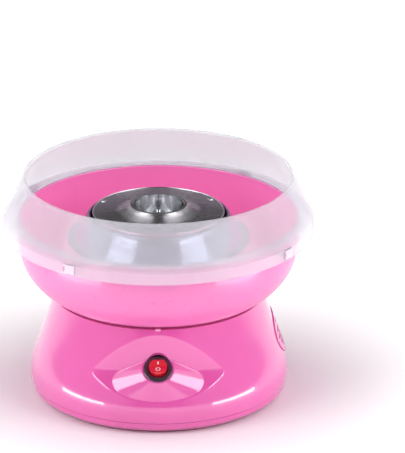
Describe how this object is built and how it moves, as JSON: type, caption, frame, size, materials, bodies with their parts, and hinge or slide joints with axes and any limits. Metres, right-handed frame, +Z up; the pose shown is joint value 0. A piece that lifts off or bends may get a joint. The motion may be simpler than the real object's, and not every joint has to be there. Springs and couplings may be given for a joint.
{
  "type": "cotton candy machine",
  "caption": "Tabletop cotton candy machine: flared base with a front rocker switch, spinning head over a ring heater, lift-off bowl with heat collar and clear splash guard.",
  "frame": {"origin": "centre of the footprint on the table", "axes": "+Z up along the axis of the spinning head, -Y towards the switch and the user, +X to the user's right"},
  "size_m": [0.2704, 0.2704, 0.1974],
  "materials": {
    "pink_housing": "glossy moulded ABS",
    "pink_cover": "fine grained moulded ABS",
    "dark_rubber": "matt rubber",
    "zinc_screw": "zinc plated",
    "pink_vent": "glossy moulded ABS",
    "clip_plastic": "glossy moulded ABS",
    "black_bezel": "glossy moulded nylon",
    "red_lens": "glossy tinted polycarbonate",
    "lamp_glass": "clear neon lamp",
    "tinned_brass": "stamped brass",
    "motor_steel": "plated drawn steel",
    "nylon_white": "satin nylon",
    "galvanised": "galvanised sheet",
    "bright_steel": "ground steel",
    "fan_plastic": "satin polypropylene",
    "spun_aluminium": "spun and brushed",
    "element_sheath": "heat darkened steel tube",
    "stainless_strip": "bent stainless strip",
    "steatite": "unglazed ceramic",
    "phenolic": "moulded phenolic",
    "board_green": "printed board with solder resist",
    "board_parts": "moulded epoxy cases",
    "wire_silicone": "silicone insulated wire",
    "pan_aluminium": "spun aluminium",
    "screen_steel": "perforated stainless band",
    "lid_aluminium": "satin spun aluminium",
    "ring_chrome": "polished rolled rim",
    "well_aluminium": "polished aluminium",
    "cone_aluminium": "turned aluminium",
    "nut_steel": "polished dome nut",
    "pink_bowl": "glossy moulded polypropylene",
    "collar_metal": "pressed and polished aluminium",
    "rivet_metal": "blind rivet",
    "clear_guard": "hazy clear polycarbonate",
    "guard_clip_plastic": "glossy moulded ABS"
  },
  "bodies": {
    "base": {"base_housing": "pink_housing", "bottom_cover": "pink_cover", "rubber_feet": "dark_rubber", "cover_screws": "zinc_screw", "vent_insert": "pink_vent", "cord_gland": "dark_rubber", "bowl_lock_clip": "clip_plastic", "switch_bezel": "black_bezel", "switch_lamp": "lamp_glass", "switch_terminals": "tinned_brass", "motor_can": "motor_steel", "motor_end_bell": "nylon_white", "motor_terminals": "tinned_brass", "motor_bracket": "galvanised", "motor_grommets": "dark_rubber", "bracket_screws": "zinc_screw", "heater_dish": "spun_aluminium", "dish_screws": "zinc_screw", "heating_element": "element_sheath", "element_clips": "stainless_strip", "lead_bushings": "steatite", "element_terminals": "bright_steel", "thermal_cutout": "phenolic", "rectifier_board": "board_green", "board_components": "board_parts", "terminal_block": "nylon_white", "board_screws": "zinc_screw", "wiring": "wire_silicone"},
    "rotor": {"motor_shaft": "bright_steel", "cooling_fan": "fan_plastic", "drive_hub": "spun_aluminium", "drive_pin": "bright_steel"},
    "head": {"head_pan": "pan_aluminium", "head_screen": "screen_steel", "head_lid": "lid_aluminium", "head_rim_ring": "ring_chrome", "sugar_well": "well_aluminium", "head_cone": "cone_aluminium", "head_nut": "nut_steel", "head_tabs": "stainless_strip"},
    "rocker": {"switch_rocker": "red_lens"},
    "bowl": {"bowl": "pink_bowl", "bowl_tube": "pink_bowl", "heat_collar": "collar_metal", "collar_rivets": "rivet_metal"},
    "guard": {"splash_guard": "clear_guard", "guard_clips": "guard_clip_plastic"}
  },
  "joints": [
    {"name": "head_spin", "type": "hinge", "parent": "base", "child": "rotor", "pos_m": [0, 0, 0.1], "axis": [0, 0, 1], "continuous": true},
    {"name": "head_lift", "type": "slide", "parent": "rotor", "child": "head", "axis": [0, 0, 1], "range_m": [0, 0.04]},
    {"name": "switch_rock", "type": "hinge", "parent": "base", "child": "rocker", "pos_m": [0, -0.09906, 0.05585], "axis": [1, 0, 0], "range_deg": [0, 18]},
    {"name": "bowl_lift", "type": "slide", "parent": "base", "child": "bowl", "axis": [0, 0, 1], "range_m": [0, 0.09]},
    {"name": "guard_lift", "type": "slide", "parent": "bowl", "child": "guard", "axis": [0, 0, 1], "range_m": [0, 0.04]}
  ]
}
